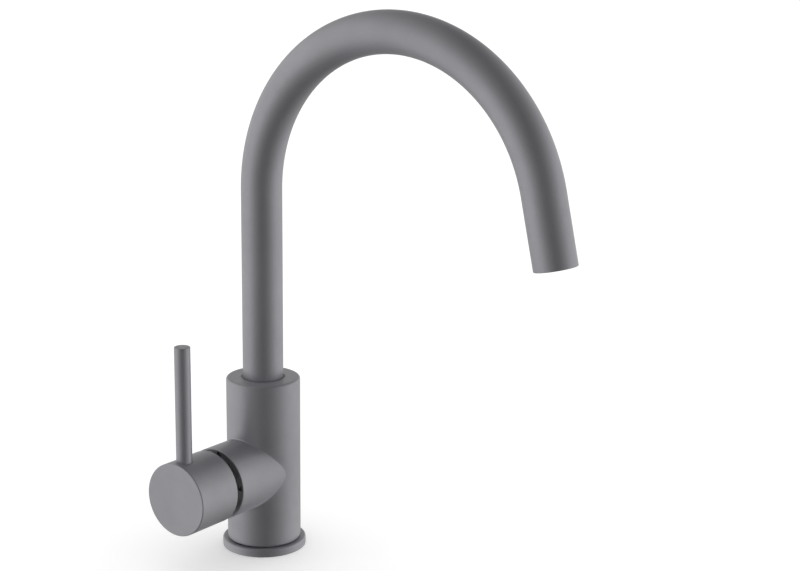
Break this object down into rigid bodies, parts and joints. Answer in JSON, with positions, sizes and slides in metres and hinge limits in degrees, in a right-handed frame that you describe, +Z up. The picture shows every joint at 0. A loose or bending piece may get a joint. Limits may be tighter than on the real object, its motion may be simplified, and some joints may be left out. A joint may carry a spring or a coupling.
{
  "type": "kitchen mixer tap",
  "caption": "Kitchen mixer tap: tall swan neck spout that swivels in a round column, and a side knob with an upright pin lever that tilts for flow and turns for temperature.",
  "frame": {"origin": "centre of the underside, on the deck that the tap stands on", "axes": "+Z up along the column, the spout points towards -Y at rest, the lever's boss points towards -X"},
  "size_m": [0.1014, 0.239, 0.3288],
  "materials": {
    "grey_coating": "satin",
    "brass": "turned",
    "steel": "turned",
    "rubber": "matte",
    "white_plastic": "moulded",
    "grey_plastic": "moulded",
    "guide_plastic": "moulded",
    "dark_cap": "satin",
    "alumina": "lapped"
  },
  "bodies": {
    "tap_body": {"body_casting": "grey_coating", "base_ring": "grey_coating", "base_seal": "rubber", "spout_guide_ring": "guide_plastic", "spout_thrust_ring": "white_plastic", "spout_keeper_screw": "steel", "cartridge_base": "white_plastic", "cartridge_seals": "rubber", "fixed_ceramic_disc": "alumina", "cartridge_housing": "white_plastic", "cartridge_nut": "dark_cap", "cartridge_cover": "dark_cap"},
    "spout": {"spout_tube": "grey_coating", "spout_nipple": "brass", "spout_o_rings": "rubber", "outlet_bush": "brass", "aerator_washer": "rubber", "aerator_shell": "grey_plastic", "aerator_core": "grey_plastic", "aerator_screen": "steel"},
    "temperature_rotor": {"cartridge_rotor": "white_plastic", "pivot_pin": "steel"},
    "sliding_disc": {"moving_ceramic_disc": "alumina", "disc_carrier": "white_plastic"},
    "lever": {"lever_stem": "steel", "lever_knob": "grey_coating", "lever_rod": "grey_coating", "grub_screw": "steel", "grub_hole_plug": "grey_plastic"}
  },
  "joints": [
    {"name": "spout_swivel", "type": "hinge", "parent": "tap_body", "child": "spout", "pos_m": [0, 0, 0.08], "axis": [0, 0, 1], "continuous": true},
    {"name": "temperature_turn", "type": "hinge", "parent": "tap_body", "child": "temperature_rotor", "pos_m": [-0.05195, 0, 0.0495], "axis": [-1, 0, 0], "range_deg": [-50, 50]},
    {"name": "lever_tilt", "type": "hinge", "parent": "temperature_rotor", "child": "lever", "pos_m": [-0.05195, 0, 0.0495], "axis": [0, -1, 0], "range_deg": [0, 20]},
    {"name": "disc_slide", "type": "slide", "parent": "temperature_rotor", "child": "sliding_disc", "axis": [0, 0, 1], "range_m": [0, 0.0033]}
  ],
  "couplings": [
    {"joint": "disc_slide", "follows": "lever_tilt", "m_per_rad": 0.009308}
  ]
}
